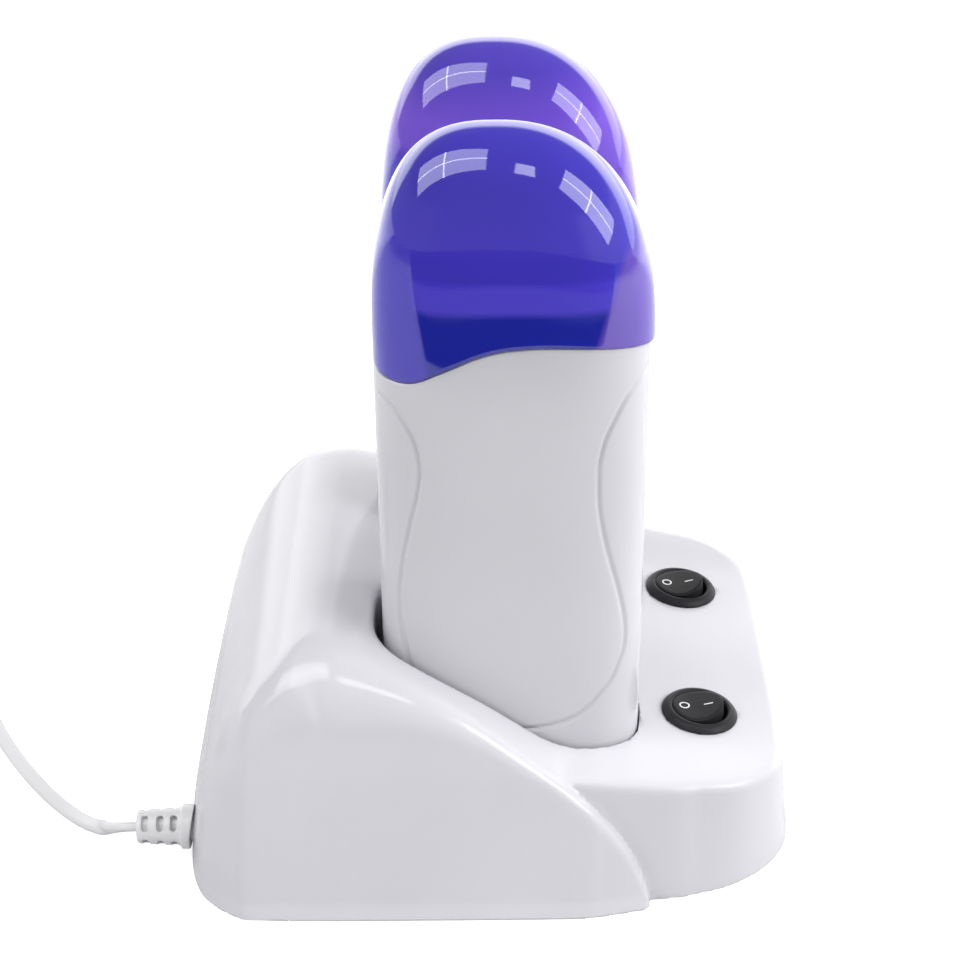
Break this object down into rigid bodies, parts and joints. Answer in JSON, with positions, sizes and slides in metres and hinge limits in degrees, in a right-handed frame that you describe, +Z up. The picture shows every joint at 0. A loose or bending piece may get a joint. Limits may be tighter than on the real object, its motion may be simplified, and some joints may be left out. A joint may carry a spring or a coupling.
{
  "type": "roll-on wax heater with docking base",
  "caption": "Docked roll-on wax heaters with translucent violet caps on a white base with round rocker switches and a mains lead.",
  "frame": {"origin": "centre of the base's footprint at table level, the free lead left out", "axes": "+Z up, +X from the rear hump towards the switch end, +Y across from the near heater to the far heater"},
  "size_m": [0.3236, 0.1606, 0.216],
  "materials": {
    "white_gloss": "glossy injection-moulded ABS",
    "violet_translucent": "glossy translucent",
    "black_plastic": "fine texture",
    "rubber": "matte",
    "steel": "plated",
    "brass": "bright",
    "aluminium": "satin",
    "ceramic": "matte",
    "lead_white": "soft PVC"
  },
  "bodies": {
    "base": {"base_bottom_plate": "white_gloss", "base_screw_front_far": "steel", "base_screw_front_near": "steel", "base_screw_rear_far": "steel", "base_screw_rear_near": "steel", "base_top_shell": "white_gloss", "contact_pin_far_a": "brass", "contact_pin_far_b": "brass", "contact_pin_near_a": "brass", "contact_pin_near_b": "brass", "dock_socket_far": "black_plastic", "dock_socket_near": "black_plastic", "foot_front_far": "rubber", "foot_front_near": "rubber", "foot_rear_far": "rubber", "foot_rear_near": "rubber", "inner_lead_dock_far": "lead_white", "inner_lead_dock_near": "lead_white", "inner_lead_switch_far": "lead_white", "inner_lead_switch_near": "lead_white", "mains_lead": "lead_white", "mains_lead_coil": "lead_white", "mains_terminal_block": "white_gloss", "plug_body": "lead_white", "plug_pin_a": "steel", "plug_pin_b": "steel", "strain_relief": "lead_white", "switch_housing_far": "black_plastic", "switch_housing_near": "black_plastic", "switch_terminal_far_in": "brass", "switch_terminal_far_out": "brass", "switch_terminal_near_in": "brass", "switch_terminal_near_out": "brass"},
    "heater_near": {"heater_near_back_shell": "white_gloss", "heater_near_chamber": "aluminium", "heater_near_front_shell": "white_gloss", "heater_near_inlet": "black_plastic", "heater_near_neck_ring": "white_gloss", "heater_near_ptc_heater": "ceramic", "heater_near_screw_left": "steel", "heater_near_screw_right": "steel", "heater_near_thermal_cutout": "steel"},
    "heater_far": {"heater_far_back_shell": "white_gloss", "heater_far_chamber": "aluminium", "heater_far_front_shell": "white_gloss", "heater_far_inlet": "black_plastic", "heater_far_neck_ring": "white_gloss", "heater_far_ptc_heater": "ceramic", "heater_far_screw_left": "steel", "heater_far_screw_right": "steel", "heater_far_thermal_cutout": "steel"},
    "cap_near": {"cap_near": "violet_translucent"},
    "cap_far": {"cap_far": "violet_translucent"},
    "rocker_near": {"rocker_near": "black_plastic"},
    "rocker_far": {"rocker_far": "black_plastic"}
  },
  "joints": [
    {"name": "heater_near_lift", "type": "slide", "parent": "base", "child": "heater_near", "axis": [0, 0, 1], "range_m": [0, 0.08]},
    {"name": "cap_near_lift", "type": "slide", "parent": "heater_near", "child": "cap_near", "axis": [0, 0, 1], "range_m": [0, 0.06]},
    {"name": "rocker_near_tilt", "type": "hinge", "parent": "base", "child": "rocker_near", "pos_m": [0.06168, -0.0333, 0.03481], "axis": [0, 1, 0], "range_deg": [0, 23]},
    {"name": "heater_far_lift", "type": "slide", "parent": "base", "child": "heater_far", "axis": [0, 0, 1], "range_m": [0, 0.08]},
    {"name": "cap_far_lift", "type": "slide", "parent": "heater_far", "child": "cap_far", "axis": [0, 0, 1], "range_m": [0, 0.06]},
    {"name": "rocker_far_tilt", "type": "hinge", "parent": "base", "child": "rocker_far", "pos_m": [0.06168, 0.0333, 0.03481], "axis": [0, 1, 0], "range_deg": [0, 23]}
  ]
}
